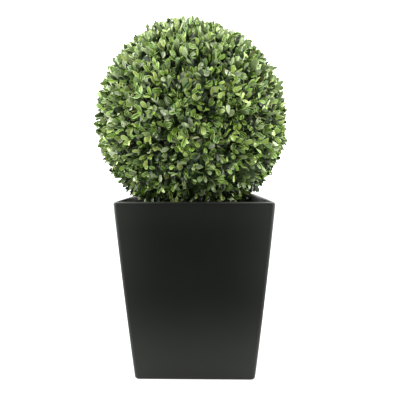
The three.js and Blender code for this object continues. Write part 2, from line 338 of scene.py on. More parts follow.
def join_tubes(paths, radii, sides, aside):
    """Closed tubes along many paths. Each path point has a ring of corners at its radius, square to
    the path, and the two ends are flat."""
    tubes, rows = paths.shape[:2]
    tangent = unit(np.gradient(paths, axis=1))
    first = unit(aside[:, None] - (aside[:, None] * tangent).sum(-1, keepdims=True) * tangent)
    second = np.cross(tangent, first)
    angle = 2 * np.pi * np.arange(sides)[:, None] / sides
    spokes = first[:, :, None] * np.cos(angle) + second[:, :, None] * np.sin(angle)
    points = paths[:, :, None] + radii[:, :, None, None] * spokes
    return points.reshape(-1, 3), *stack_faces(tubes, rows, sides)


# Finishes


def linear(red, green, blue):
    """A screen colour from 0 to 255 as the linear light that it stands for."""
    value = np.array([red, green, blue]) / 255
    light = np.where(value <= 0.04045, value / 12.92, ((value + 0.055) / 1.055) ** 2.4)
    return (*light.tolist(), 1.0)


def new_finish(name, roughness, specular):
    """A new finish with this roughness and specular share, and its shader."""
    finish = bpy.data.materials.new(name)
    finish.use_nodes = True
    shader = finish.node_tree.nodes["Principled BSDF"]
    shader.inputs["Roughness"].default_value = roughness
    shader.inputs["Specular IOR Level"].default_value = specular
    return finish, shader


def plain_finish(name, colour, roughness, specular):
    """Moulded plastic in one plain colour."""
    finish, shader = new_finish(name, roughness, specular)
    shader.inputs["Base Color"].default_value = colour
    return finish


def noise(finish, scale, detail, stretch=(1.0, 1.0, 1.0)):
    """Noise over the piece's own coordinates in metres, each axis scaled by the stretch."""
    nodes, links = finish.node_tree.nodes, finish.node_tree.links
    place = nodes.new("ShaderNodeTexCoord")
    mapping = nodes.new("ShaderNodeMapping")
    mapping.inputs["Scale"].default_value = stretch
    texture = nodes.new("ShaderNodeTexNoise")
    texture.inputs["Scale"].default_value = scale
    texture.inputs["Detail"].default_value = detail
    links.new(place.outputs["Object"], mapping.inputs["Vector"])
    links.new(mapping.outputs["Vector"], texture.inputs["Vector"])
    return texture.outputs["Fac"]


def tinted(finish, shader, source, stops):
    """Lays colours over a pattern: each stop is a place from 0 to 1 and a colour."""
    nodes, links = finish.node_tree.nodes, finish.node_tree.links
    ramp = nodes.new("ShaderNodeValToRGB")
    marks = ramp.color_ramp.elements
    while len(marks) < len(stops):
        marks.new(0.5)
    for mark, (position, colour) in zip(marks, stops):
        mark.position = position
        mark.color = colour
    links.new(source, ramp.inputs["Fac"])
    links.new(ramp.outputs["Color"], shader.inputs["Base Color"])


def varied_roughness(finish, shader, source, low, high):
    """Roughness that follows a pattern from low to high."""
    nodes, links = finish.node_tree.nodes, finish.node_tree.links
    spread = nodes.new("ShaderNodeMapRange")
    spread.inputs["From Min"].default_value, spread.inputs["From Max"].default_value = NOISE_RANGE
    spread.inputs["To Min"].default_value = low
    spread.inputs["To Max"].default_value = high
    links.new(source, spread.inputs["Value"])
    links.new(spread.outputs["Result"], shader.inputs["Roughness"])


def embossed(finish, shader, sources):
    """Bumps stacked one on another: each is a pattern and its height in metres."""
    nodes, links = finish.node_tree.nodes, finish.node_tree.links
    below = None
    for source, height in sources:
        bump = nodes.new("ShaderNodeBump")
        bump.inputs["Strength"].default_value = 1.0
        bump.inputs["Distance"].default_value = height
        links.new(source, bump.inputs["Height"])
        if below is not None:
            links.new(below.outputs["Normal"], bump.inputs["Normal"])
        below = bump
    links.new(below.outputs["Normal"], shader.inputs["Normal"])


def make_planter_finish():
    """Matt near-black fibre composite: painted light over cloudy tone (painted floor light at the
    foot, painted reflections near the corners and a painted highlight on the lip), a fine grain and
    a slow waviness."""
    finish, shader = new_finish("charcoal_composite", roughness=0.4, specular=0.1)
    shader.inputs["Specular Tint"].default_value = (0.9, 1.0, 0.86, 1.0)
    nodes, links = finish.node_tree.nodes, finish.node_tree.links
    # Painted light from the shell's points: painted floor light at the foot, painted reflections
    # near the corners, a lighter top and a painted highlight on the lip
    painted_light = nodes.new("ShaderNodeAttribute")
    painted_light.attribute_name = "painted_light"
    clouds_and_painted_light = nodes.new("ShaderNodeMath")
    clouds_and_painted_light.operation = "MULTIPLY_ADD"
    clouds_and_painted_light.inputs[1].default_value = CLOUDINESS
    links.new(noise(finish, scale=9.0, detail=4.0), clouds_and_painted_light.inputs[0])
    links.new(painted_light.outputs["Fac"], clouds_and_painted_light.inputs[2])
    waviness = noise(finish, scale=14.0, detail=2.0)
    grain = noise(finish, scale=900.0, detail=2.0)
    tones = [(0.0, linear(0, 0, 0)), (0.5, linear(54, 55, 52)), (1.0, linear(109, 110, 107))]
    tinted(finish, shader, clouds_and_painted_light.outputs["Value"], tones)
    varied_roughness(finish, shader, noise(finish, scale=22.0, detail=4.0), low=0.35, high=0.44)
    embossed(finish, shader, [(waviness, 0.6 * MM), (grain, 0.06 * MM)])
    return finish


def make_bark_bed_finish():
    """Dark crumbs of bark and peat."""
    finish, shader = new_finish("bark_crumbs", roughness=0.9, specular=0.3)
    crumbs = noise(finish, scale=260.0, detail=6.0)
    tones = [(0.3, linear(22, 17, 14)), (0.55, linear(48, 36, 28)), (0.75, linear(74, 56, 42))]
    tinted(finish, shader, crumbs, tones)
    embossed(finish, shader, [(crumbs, 2.0 * MM)])
    return finish


def make_bark_chip_finish():
    """Chips of pine bark, mottled in browns, with a fine grain."""
    finish, shader = new_finish("bark_chip", roughness=0.8, specular=0.3)
    mottle = noise(finish, scale=60.0, detail=3.0)
    grain = noise(finish, scale=420.0, detail=5.0)
    tones = [(0.3, linear(46, 31, 22)), (0.5, linear(84, 58, 40)), (0.72, linear(118, 86, 60))]
    tinted(finish, shader, mottle, tones)
    embossed(finish, shader, [(grain, 0.8 * MM)])
    return finish


def make_stem_finish():
    """Grey-brown bark, its fissures drawn out along the stem."""
    finish, shader = new_finish("stem_bark", roughness=0.85, specular=0.3)
    streaks = noise(finish, scale=120.0, detail=6.0, stretch=(1.0, 1.0, 0.16))
    tones = [(0.3, linear(52, 41, 33)), (0.55, linear(98, 80, 64)), (0.75, linear(134, 114, 92))]
    tinted(finish, shader, streaks, tones)
    embossed(finish, shader, [(streaks, 1.5 * MM)])
    return finish


def make_twig_finish(name, dark, light):
    """Moulded twigs or frame, mottled from a dark to a light tone."""
    finish, shader = new_finish(name, roughness=0.55, specular=0.4)
    mottle = noise(finish, scale=70.0, detail=3.0)
    tinted(finish, shader, mottle, [(0.35, linear(*dark)), (0.65, linear(*light))])
    return finish


def make_leaf_finishes():
    """One plain finish per tint: the blades, then the margins, then the undersides."""
    kinds = [
        ("leaf_blade", BLADE_TINTS, UPPER_ROUGHNESS),
        ("leaf_margin", MARGIN_TINTS, UPPER_ROUGHNESS),
        ("leaf_underside", UNDERSIDE_TINTS, UNDERSIDE_ROUGHNESS),
    ]
    return [
        plain_finish(f"{name}_{number}", linear(*tint), roughness, LEAF_SHEEN)
        for name, tints, roughness in kinds
        for number, tint in enumerate(tints)
    ]


# Planter


def square_outline(half_width, corner_radius):
    """Squares with rounded corners, counter-clockwise: a quarter circle about each corner's centre,
    then the straight side to the next, as a corner's centre plus the corner radius in a turning
    direction. One outline per half width."""
    quarter = np.arange(4)[:, None]
    step = np.arange(CORNER_STEPS + SIDE_STEPS)[None, :]
    angle = np.pi / 2 * (quarter + np.minimum(step / CORNER_STEPS, 1.0))
    share = np.clip((step - CORNER_STEPS) / SIDE_STEPS, 0.0, 1.0)[..., None]
    diagonal = np.pi / 4 + np.pi / 2 * np.arange(5)
    signs = np.sign(np.stack([np.cos(diagonal), np.sin(diagonal)], axis=-1))
    centres = signs[:4, None] * (1 - share) + signs[1:, None] * share
    directions = np.stack([np.cos(angle), np.sin(angle)], axis=-1)
    centres, directions = centres.reshape(-1, 2), directions.reshape(-1, 2)
    half_width = np.asarray(half_width, dtype=float).reshape(-1, 1, 1)
    corner_radius = np.asarray(corner_radius, dtype=float).reshape(-1, 1, 1)
    return (half_width - corner_radius) * centres + corner_radius * directions


def planter_half_width(z):
    """Half the planter's outer width, growing evenly with the height."""
    return BASE_WIDTH / 2 + (RIM_WIDTH - BASE_WIDTH) / 2 * z / PLANTER_HEIGHT


def rounding(inset, z, radius, start, end, steps):
    """A quarter circle of the wall's profile, as insets from the outer face and heights."""
    angle = np.linspace(start, end, steps + 1)
    return np.stack([inset - radius * np.cos(angle), z + radius * np.sin(angle)], axis=-1)


def straight(start, end, steps):
    """Even steps between two profile points, without the two."""
    share = np.linspace(0, 1, steps + 1)[1:-1, None]
    return np.array(start) * (1 - share) + np.array(end) * share


def planter_profile():
    """The wall's profile as insets from the outer face and heights: up the outside, over the
    rounded lip and down the inside to the floor."""
    quarter = np.pi / 2
    radius = BASE_EDGE_RADIUS
    base = rounding(radius, radius, radius, -quarter, 0, BASE_EDGE_STEPS)
    radius = LIP_OUTER_RADIUS
    lip = rounding(radius, PLANTER_HEIGHT - radius, radius, 0, quarter, LIP_OUTER_STEPS)
    radius = LIP_INNER_RADIUS
    inner_lip = rounding(
        WALL - radius, PLANTER_HEIGHT - radius, radius, quarter, 2 * quarter, LIP_INNER_STEPS
    )
    foot_of_wall = [WALL, FLOOR]
    return np.concatenate([
        [[BASE_EDGE_RADIUS + CAP_INSET, 0.0]],
        base,
        straight(base[-1], lip[0], OUTER_WALL_STEPS),
        lip,
        inner_lip,
        straight(inner_lip[-1], foot_of_wall, INNER_WALL_STEPS),
        [foot_of_wall, [WALL + CAP_INSET, FLOOR]],
    ])


def wall_push(x, y, height):
    """How far the outer faces stand out: a bow, which is a parabola over the height, and crossing
    sines that die away towards base, lip and corners."""
    along = np.where(np.abs(x) > np.abs(y), y, x)
    wave = np.sin(height / 37 + along / 61 + np.sign(x + y)) * np.cos(along / 43 - height / 83)
    below_lip = PLANTER_HEIGHT - LIP_OUTER_RADIUS - height
    fade = smooth_rise(height, *WALL_WAVE_FOOT) * smooth_rise(below_lip, *WALL_WAVE_LIP)
    fade = fade * smooth_rise(planter_half_width(height) - np.abs(along), *WALL_WAVE_EDGE)
    share = height / PLANTER_HEIGHT
    return WALL_BOW * 4 * share * (1 - share) + WALL_WAVE * wave * fade


def planter_painted_light(x, y, height):
    """How far painted light lightens the planter's tone: painted floor light, most at the foot and
    fading upwards, a little near the top, and a painted reflection of the side lights by the cube
    of the distance from a face's middle line, twice as much near the top as low down. On the lip a
    painted highlight grows with the square of that distance."""
    off_middle = np.minimum(np.abs(x), np.abs(y)) / planter_half_width(height)
    foot = FOOT_PAINTED_LIGHT * (1 - smooth_rise(height, *FOOT_PAINTED_LIGHT_END))
    edge = EDGE_PAINTED_REFLECTION * off_middle ** 3 * (0.5 + 0.5 * smooth_rise(height, *EDGE_PAINTED_REFLECTION_RISE))
    top = TOP_LIGHTENING * smooth_rise(height, *TOP_LIGHTENING_RISE)
    lip_highlight = (LIP_PAINTED_HIGHLIGHT + LIP_EDGE_PAINTED_HIGHLIGHT * off_middle ** 2) * smooth_rise(height, *LIP_PAINTED_HIGHLIGHT_RISE)
    return foot + edge + top + lip_highlight


def make_planter(finish):
    """The shell: the wall's profile carried round a square outline, its outer faces pushed out a
    little, with the painted light and reflections as a value at each point."""
    inset, z = planter_profile().T
    corner_radius = np.maximum(CORNER_RADIUS - np.maximum(inset - WALL, 0), SMALLEST_CORNER_RADIUS)
    outline = square_outline(planter_half_width(z) - inset, corner_radius)
    x, y = outline[..., 0], outline[..., 1]
    height = np.broadcast_to(z[:, None], x.shape)
    is_outer = (inset[:, None] < TOLERANCE) & (height < PLANTER_HEIGHT - LIP_OUTER_RADIUS)
    push = wall_push(x, y, height) * is_outer
    sideways = np.abs(x) > np.abs(y)
    x = x + np.where(sideways, np.sign(x) * push, 0)
    y = y + np.where(sideways, 0, np.sign(y) * push)
    piece = put_mesh("planter_body", *join_rings(np.stack([x, y, height], axis=-1)), [finish])
    # Painted light, painted reflections and a painted lip highlight, one value at each point
    painted_light = np.concatenate([planter_painted_light(x, y, height).ravel(), [0.0, 0.0]])
    shares = piece.data.attributes.new("painted_light", "FLOAT", "POINT")
    shares.data.foreach_set("value", painted_light.astype(np.float32))
    return piece


# Filling


def filling_height(x, y):
    """The filling's level: a sine across one slant times a cosine across another, fading out round
    the stem's foot."""
    turn = 2 * np.pi / FILLING_WAVE_LENGTH
    waves = np.sin(turn * (x + 0.7 * y)) * np.cos(turn * (y - 0.4 * x))
    fade = smooth_rise(np.hypot(x, y), FILLING_FLAT_RADIUS, 2 * FILLING_FLAT_RADIUS)
    return FILLING_LEVEL + FILLING_UNEVENNESS * waves * fade


def make_bark_bed(finish):
    """The plug: a straight side, and a top of shrinking square outlines raised to the filling's
    level, with crumbs as a product of two short sines whose phases wander."""
    bottom = FLOOR + CLEARANCE
    gap = WALL + CLEARANCE
    top_half_width = planter_half_width(FILLING_LEVEL - FILLING_UNEVENNESS) - gap
    share = np.linspace(1, BED_MIDDLE_SHARE, BED_RINGS)
    half_width = np.concatenate([[planter_half_width(bottom) - gap], top_half_width * share])
    outline = square_outline(half_width, CORNER_RADIUS * np.concatenate([[1.0], share]))
    x, y = outline[..., 0], outline[..., 1]
    crumbs = np.sin(x / 2.3 + 2 * np.sin(y / 5.1)) * np.sin(y / 2.7 + 2 * np.sin(x / 4.3))
    z = filling_height(x, y) + CRUMB_RELIEF * crumbs - CRUMB_SINK
    z[0] = bottom
    return put_mesh("bark_bed", *join_rings(np.stack([x, y, z], axis=-1)), [finish])


def chip_rings(count, rng):
    """Each chip as three rings about its middle. Its uneven six-sided outline, longer than wide, is
    full halfway through the chip and smaller at the bottom and the top."""
    length = rng.uniform(*CHIP_LENGTH, count)
    width = length * rng.uniform(*CHIP_WIDTH_RATIO, count)
    thickness = rng.uniform(*CHIP_THICKNESS, count)
    shift = rng.uniform(-CHIP_ROUGH_ANGLE, CHIP_ROUGH_ANGLE, (count, CHIP_SIDES))
    angle = 2 * np.pi * (np.arange(CHIP_SIDES) + shift) / CHIP_SIDES
    radius = rng.uniform(*CHIP_ROUGH_RADIUS, (count, CHIP_SIDES))
    outline = np.stack([
        length[:, None] * radius * np.cos(angle),
        width[:, None] * radius * np.sin(angle),
        np.zeros_like(angle),
    ], axis=-1)
    rings = outline[:, None] * np.array(CHIP_RING_SCALES)[None, :, None, None]
    rings[..., 2] = thickness[:, None, None] * np.array([-1.0, 0.0, 1.0])[None, :, None]
    return rings


def chip_axes(count, rng):
    """The directions along, across and out of each flat chip, from a turn about the upright and two
    small tilts."""
    turn = rng.uniform(0, 2 * np.pi, count)
    pitch, bank = rng.normal(0, CHIP_TILT, (2, count))
    level = np.cos(pitch)
    along = np.stack([np.cos(turn) * level, np.sin(turn) * level, np.sin(pitch)], axis=-1)
    flat = np.stack([-np.sin(turn), np.cos(turn), bank], axis=-1)
    across = unit(flat - (flat * along).sum(-1, keepdims=True) * along)
    return along, across, np.cross(along, across)


def make_bark_chips(finish, rng):
    """Chips strewn evenly at random over the filling, clear of the wall and the stem: each point is
    the chip's middle plus its rings laid out along its three directions."""
    reach = planter_half_width(FILLING_LEVEL) - WALL - CHIP_WALL_GAP
    place = rng.uniform(-reach, reach, (CHIP_COUNT, 2))
    place = place[np.hypot(place[:, 0], place[:, 1]) > STEM_FLARE_RADIUS + CHIP_STEM_GAP]
    count = len(place)
    rings = chip_rings(count, rng)
    along, across, normal = chip_axes(count, rng)
    height = filling_height(place[:, 0], place[:, 1]) + rng.uniform(*CHIP_RISE, count)
    centre = np.stack([place[:, 0], place[:, 1], height], axis=-1)
    turned = (
        rings[..., :1] * along[:, None, None]
        + rings[..., 1:2] * across[:, None, None]
        + rings[..., 2:] * normal[:, None, None]
    )
    points = (centre[:, None, None] + turned).reshape(-1, 3)
    corners, sizes = stack_faces(count, len(CHIP_RING_SCALES), CHIP_SIDES)
    piece = put_mesh("bark_chips", points, corners, sizes, [finish])
    piece.data.polygons.foreach_set("use_smooth", np.zeros(len(piece.data.polygons), dtype=bool))
    return piece


# Stem and the ball's inside


def stem_centre(z):
    """The stem's middle line, from the planter's middle at the foot towards the ball's middle."""
    share = (z - STEM_FOOT) / (BALL_CENTRE[2] - STEM_FOOT)
    return BALL_CENTRE[0] * share, BALL_CENTRE[1] * share


def make_stem(finish):
    """The stem: an even taper plus a flare that dies away above the foot, less the bark's relief.
    That is the furrows between nine ridges, |sine| waves round the stem whose phase wanders with
    the height, and fine crossing cracks."""
    share = np.linspace(0, 1, STEM_RINGS)[:, None]
    z = STEM_FOOT + (STEM_TOP - STEM_FOOT) * share
    angle = np.linspace(0, 2 * np.pi, STEM_SIDES, endpoint=False)[None, :]
    radius = STEM_FOOT_RADIUS + (STEM_TOP_RADIUS - STEM_FOOT_RADIUS) * share
    flare = np.exp(-(z - STEM_FOOT) / STEM_FLARE_HEIGHT)
    radius = radius + (STEM_FLARE_RADIUS - STEM_FOOT_RADIUS) * flare
    ridges = np.abs(np.sin(4.5 * angle + 1.2 * np.sin(z / 19) + 0.6 * np.sin(z / 7 + angle)))
    cracks = np.sin(9 * angle + z / 5 + 2 * np.sin(2 * angle + z / 11))
    cracks = cracks * np.sin(z / 3.1 + 3 * angle)
    radius = radius - BARK_RIDGE_DEPTH * (1 - ridges) ** 2 - BARK_CRACK_DEPTH * (1 + cracks)
    centre_x, centre_y = stem_centre(z)
    x, y = centre_x + radius * np.cos(angle), centre_y + radius * np.sin(angle)
    rings = np.stack([x, y, np.broadcast_to(z, radius.shape)], axis=-1)
    return put_mesh("stem_wood", *join_rings(rings), [finish])


def make_ball_frame(finish):
    """The moulded frame that carries the twigs: a sphere over two angles, with bars as narrow peaks
    of cosines along meridians and parallels."""
    polar = np.linspace(np.pi - FRAME_POLE_GAP, FRAME_POLE_GAP, FRAME_RINGS)[:, None]
    angle = np.linspace(0, 2 * np.pi, FRAME_SIDES, endpoint=False)[None, :]
    meridians = np.abs(np.cos(FRAME_HALF_TURN_BARS * angle)) ** FRAME_BAR_SHARPNESS * np.sin(polar)
    parallels = np.abs(np.cos(FRAME_HALF_TURN_BARS * polar)) ** FRAME_BAR_SHARPNESS
    radius = FRAME_RADIUS - FRAME_BAR_DEPTH + FRAME_BAR_DEPTH * np.maximum(meridians, parallels)
    rings = BALL_CENTRE + np.stack([
        radius * np.sin(polar) * np.cos(angle),
        radius * np.sin(polar) * np.sin(angle),
        radius * np.cos(polar),
    ], axis=-1)
    return put_mesh("ball_frame", *join_rings(rings), [finish])


# Twigs and leaves


def reach_towards(direction):
    """How far foliage reaches from the ball's middle: a little further below mid-height, and at the
    tuft on top."""
    skirt = SKIRT_FULLNESS * smooth_rise(-direction[..., 2], *SKIRT_RISE)
    return BALL_REACH + skirt + TUFT_HEIGHT * smooth_rise(direction @ TUFT_TOWARDS, *TUFT_RISE)


def has_room(points):
    """Whether points lie within the ball's reach, or a stray tip's, and clear of planter, filling
    and stem."""
    from_centre = points - BALL_CENTRE
    distance = np.linalg.norm(from_centre, axis=-1)
    in_ball = distance <= reach_towards(from_centre / distance[..., None]) + STRAY_REACH
    x, y, z = points[..., 0], points[..., 1], points[..., 2]
    over_rim = z > PLANTER_HEIGHT + FOLIAGE_ROOM
    inside = np.maximum(np.abs(x), np.abs(y)) < planter_half_width(z) - WALL - FOLIAGE_ROOM
    over_filling = z > filling_height(x, y) + FOLIAGE_ROOM
    centre_x, centre_y = stem_centre(z)
    over_stem = z > STEM_TOP
    off_stem = np.hypot(x - centre_x, y - centre_y) > STEM_FLARE_RADIUS + FOLIAGE_ROOM
    return in_ball & (over_rim | inside) & over_filling & (over_stem | off_stem)


def golden_directions(count):
    """Directions spread evenly from pole to pole by the golden angle, with the east and north at
    each."""
    number = np.arange(count)
    height = 1 - (2 * number + 1) / count
    across = np.sqrt(1 - height * height)
    azimuth = number * GOLDEN_ANGLE
    outward = np.stack([across * np.cos(azimuth), across * np.sin(azimuth), height], axis=-1)
    east = np.stack([-np.sin(azimuth), np.cos(azimuth), np.zeros(count)], axis=-1)
    return outward, east, np.cross(outward, east)


def draw_stream(seed, count):
    """The source's numbers from 0 to 1: each state is the last one times a factor, modulo a
    prime."""
    states = [
        seed * pow(RANDOM_FACTOR, turn, RANDOM_PRIME) % RANDOM_PRIME for turn in range(1, count + 1)
    ]
    return np.array(states) / RANDOM_PRIME


def lay_out_twigs():
    """The main twigs' outward directions, axes and tips, by the source's rule and from its own
    numbers."""
    outward, east, north = golden_directions(TWIG_COUNT)
    draws = draw_stream(TWIG_SEED, 4 * TWIG_COUNT).reshape(-1, 4)
    skew = (2 * draws[:, :2] - 1) * TWIG_SKEW
    axis = unit(outward + east * skew[:, :1] + north * skew[:, 1:])
    stand = TWIG_STAND[0] + (TWIG_STAND[1] - TWIG_STAND[0]) * draws[:, 2:3]
    tip = BALL_CENTRE + outward * (CORE_RADIUS - TWIG_SINK) + axis * (TWIG_SINK + stand)
    kept = has_room(tip)
    return outward[kept], axis[kept], tip[kept]


def lay_out_sprigs(rng):
    """The side twigs: the golden-angle spread again, finer, each moved by up to a quarter of the
    spacing, skewed and lifted a little towards the sky."""
    outward, east, north = golden_directions(SPRIG_COUNT)
    spacing = math.sqrt(4 * np.pi / SPRIG_COUNT)
    shift = SPRIG_SHIFT * spacing * rng.uniform(-1, 1, (SPRIG_COUNT, 2))
    outward = unit(outward + east * shift[:, :1] + north * shift[:, 1:])
    skew = rng.uniform(-SPRIG_SKEW, SPRIG_SKEW, (SPRIG_COUNT, 2))
    axis = unit(outward + east * skew[:, :1] + north * skew[:, 1:] + UP * SPRIG_LIFT)
    return outward, axis


def leaf_half_width(share):
    """Half a leaf's width over its length: a stalk, then share^0.75 * (1 - share)^0.5 of the blade,
    scaled to 1."""
    blade = np.clip((share - STALK_SHARE) / (1 - STALK_SHARE), 0, 1)
    return np.maximum(blade ** 0.75 * (1 - blade) ** 0.5 / BLADE_PEAK, STALK_WIDTH)


def leaf_template():
    """Corner numbers and sizes of one leaf's faces, and the part that each is: 0 blade, 1 margin, 2
    underside. The points are the root, then at each station the six columns of the upper side and
    the midrib below, then the tip. The midrib above has the margin's tint. Last comes which pairs
    of points the leaf's edge joins."""
    stations, columns = len(LEAF_STATIONS), len(LEAF_COLUMNS)
    point = 1 + (columns + 1) * np.arange(stations)[:, None] + np.arange(columns + 1)
    root, tip = 0, 1 + (columns + 1) * stations
    faces, parts = [], []
    for column in range(columns - 1):
        near, far = point[:, column], point[:, column + 1]
        strip = [(root, near[0], far[0])]
        strip += [(near[s], near[s + 1], far[s + 1], far[s]) for s in range(stations - 1)]
        strip += [(near[-1], tip, far[-1])]
        faces += strip
        parts += [1 if column in (0, columns // 2 - 1, columns - 2) else 0] * len(strip)
    for near, far in ((point[:, 0], point[:, columns]), (point[:, columns], point[:, columns - 1])):
        strip = [(root, far[0], near[0])]
        strip += [(near[s], far[s], far[s + 1], near[s + 1]) for s in range(stations - 1)]
        strip += [(near[-1], far[-1], tip)]
        faces += strip
        parts += [2] * len(strip)
    outline = np.zeros((tip + 1, tip + 1), dtype=bool)
    for column in (0, columns - 1):
        edge = np.concatenate([[root], point[:, column], [tip]])
        outline[edge[:-1], edge[1:]] = outline[edge[1:], edge[:-1]] = True
    return np.concatenate(faces), np.array([len(face) for face in faces]), np.array(parts), outline


def leaf_points(root, along, up, length, width, bend, cup, fold):
    """Points of many leaves at once. The midrib is an arc that turns by bend radians towards the
    upper side. At a share of the way from midrib to edge, the blade rises by fold times the share
    plus cup times its square, all times half its width there."""
    side = np.cross(up, along)
    share = LEAF_STATIONS[None, :, None]
    angle = bend[:, None, None] * share
    swell = share * np.sinc(angle / np.pi)
    rise = share * angle / 2 * np.sinc(angle / (2 * np.pi)) ** 2
    blade_length = length[:, None, None]
    middle = root[:, None] + blade_length * (swell * along[:, None] + rise * up[:, None])
    normal = np.cos(angle) * up[:, None] - np.sin(angle) * along[:, None]
    half = (width / 2)[:, None] * leaf_half_width(LEAF_STATIONS)[None, :]
    offset = LEAF_COLUMNS[None, None, :] * half[..., None]
    slope = fold[:, None, None] * np.abs(LEAF_COLUMNS) + cup[:, None, None] * LEAF_COLUMNS ** 2
    lift = half[..., None] * slope
    upper = (
        middle[:, :, None]
        + offset[..., None] * side[:, None, None]
        + lift[..., None] * normal[:, :, None]
    )
    below = middle - LEAF_THICKNESS * normal
    stations = np.concatenate([upper, below[:, :, None]], axis=2).reshape(len(root), -1, 3)
    swell_tip = np.sinc(bend / np.pi)[:, None]
    rise_tip = (bend / 2 * np.sinc(bend / (2 * np.pi)) ** 2)[:, None]
    tip = root + length[:, None] * (swell_tip * along + rise_tip * up)
    return np.concatenate([root[:, None], stations, tip[:, None]], axis=1)


def aim_leaves(outward, axis, tilt, rng):
    """The directions along each blade and out of its upper side. A blade leans from the sprig by
    its node's tilt, and turns a quarter from pair to pair, with a spread in both."""
    sprigs, nodes = len(axis), len(NODES)
    shape = (sprigs, nodes, 2)
    aside = unit(np.cross(axis, outward + PAIR_SKEW * np.roll(outward, 1, axis=-1)))
    start = rng.uniform(0, 2 * np.pi, (sprigs, 1, 1))
    turn = start + np.pi / 2 * np.arange(nodes)[None, :, None] + np.pi * np.arange(2)
    turn = turn + rng.normal(0, TURN_SPREAD, shape)
    lean = np.radians(tilt + rng.normal(0, TILT_SPREAD, shape))
    first, second = aside[:, None, None], np.cross(axis, aside)[:, None, None]
    stem = axis[:, None, None]
    radial = np.cos(turn)[..., None] * first + np.sin(turn)[..., None] * second
    along = np.cos(lean)[..., None] * stem + np.sin(lean)[..., None] * radial
    up = np.sin(lean)[..., None] * stem - np.cos(lean)[..., None] * radial
    return along, up


def move_to_reach(points, outward, rng):
    """The move outwards that brings each sprig's furthest leaf near the ball's reach. It ends short
    of the reach by the uneven reach times its draw, less the stray reach times (1 - draw)^12."""
    furthest = np.linalg.norm(points - BALL_CENTRE, axis=-1).max(axis=1)
    draw = rng.random(len(points))
    short_by = UNEVEN_REACH * draw - STRAY_REACH * (1 - draw) ** STRAY_RARITY
    return (reach_towards(outward) - short_by - furthest)[:, None] * outward


def grow_leaves(outward, axis, rng):
    """Opposite pairs of leaves at each sprig's nodes, with sizes, twists, bends, cups and folds
    that differ from leaf to leaf. Gives the sprigs' tips, then the leaves' points by sprig and
    leaf."""
    sprigs, nodes = len(axis), len(NODES)
    shape = (sprigs, nodes, 2)
    below, length, tilt = (NODES[None, :, None, column] for column in range(3))
    along, up = aim_leaves(outward, axis, tilt, rng)
    length = length * rng.uniform(*LENGTH_SPREAD, shape)
    length = length * rng.uniform(*SPRIG_SIZE_SPREAD, (sprigs, 1, 1))
    width = length * LEAF_WIDTH_RATIO * rng.uniform(*WIDTH_SPREAD, shape)
    twist = rng.normal(0, TWIST_SPREAD, shape)[..., None]
    up = np.cos(twist) * up + np.sin(twist) * np.cross(along, up)
    tip = BALL_CENTRE + outward * BALL_REACH
    root = tip[:, None, None] - axis[:, None, None] * below[..., None]
    root = np.broadcast_to(root, (*shape, 3))
    bend = rng.normal(BEND_MIDDLE, BEND_SPREAD, shape)
    cup = rng.uniform(*CUP_RANGE, shape)
    fold = rng.uniform(*FOLD_RANGE, shape)
    points = leaf_points(
        root.reshape(-1, 3), along.reshape(-1, 3), up.reshape(-1, 3), length.ravel(), width.ravel(),
        bend.ravel(), cup.ravel(), fold.ravel(),
    ).reshape(sprigs, -1, 3)
    move = move_to_reach(points, outward, rng)
    return tip + move, (points + move[:, None]).reshape(sprigs, nodes * 2, -1, 3)


def deal_tints(outward, rng):
    """A tint for each leaf. Every sprig draws its place from dark to light, and the lower it is
    under the ball, the likelier it is to be one or two steps darker, which is painted shade. Its
    youngest pair is lighter and its older pairs are much darker, partly their own colour and partly
    painted shade deep inside the ball, and each leaf differs by up to two steps. Some sprigs also
    draw a hue for most of their lighter leaves, and a few leaves are purplish."""
    sprigs, nodes = len(outward), len(NODES)
    under = -outward[:, 2]
    base = rng.choice(SPRIG_TINTS, p=SPRIG_TINT_ODDS, size=(sprigs, 1, 1))
    # Painted shade: sprigs low under the ball are more often one or two steps darker
    for odds, rise in PAINTED_SHADE_UNDER_BALL:
        is_painted_darker = rng.random(sprigs) < odds * smooth_rise(under, *rise)
        base = base - is_painted_darker[:, None, None]
    step = AGE_AND_PAINTED_SHADE_STEPS[None, :, None] + rng.integers(*TINT_NOISE, (sprigs, nodes, 2))
    tint = np.clip(base + step, 0, LIGHTEST)
    hue = rng.choice(SPRIG_HUES, p=SPRIG_HUE_ODDS, size=(sprigs, 1, 1))
    has_hue = (hue >= 0) & (tint >= HUE_FROM_TINT) & (rng.random(tint.shape) < HUE_ODDS)
    tint = np.where(has_hue, hue, tint)
    tint = np.where(rng.random(tint.shape) < PURPLISH_ODDS, PURPLISH, tint)
    return tint.reshape(sprigs, nodes * 2)


def make_leaves(points, tints, kept, finishes):
    """The leaves of each height zone as one mesh, each under 200,000 triangles. The sprigs come
    sorted by height, and a leaf's faces take the finishes of its tint's blade, margin and
    underside."""
    corners, sizes, parts, outline = leaf_template()
    per_leaf = outline.shape[0]
    margins = len(BLADE_TINTS)
    undersides = margins + len(MARGIN_TINTS)
    number = np.arange(len(points))
    made = []
    for zone, name in enumerate(LEAF_ZONES):
        in_zone = (number * len(LEAF_ZONES) // len(points) == zone)[:, None] & kept
        leaves, tint = points[in_zone], tints[in_zone]
        margin, underside = margins + MARGIN_OF_BLADE[tint], undersides + UNDERSIDE_OF_BLADE[tint]
        finish_of_face = np.stack([tint, margin, underside], axis=-1)[:, parts].ravel()
        all_corners = (corners + per_leaf * np.arange(len(leaves))[:, None]).ravel()
        all_sizes = np.tile(sizes, len(leaves))
        points_in_row = leaves.reshape(-1, 3)
        piece = put_mesh(name, points_in_row, all_corners, all_sizes, finishes, finish_of_face)
        sharpen(piece, lambda one, other: outline[one % per_leaf, other % per_leaf])
        made.append(piece)
    return made


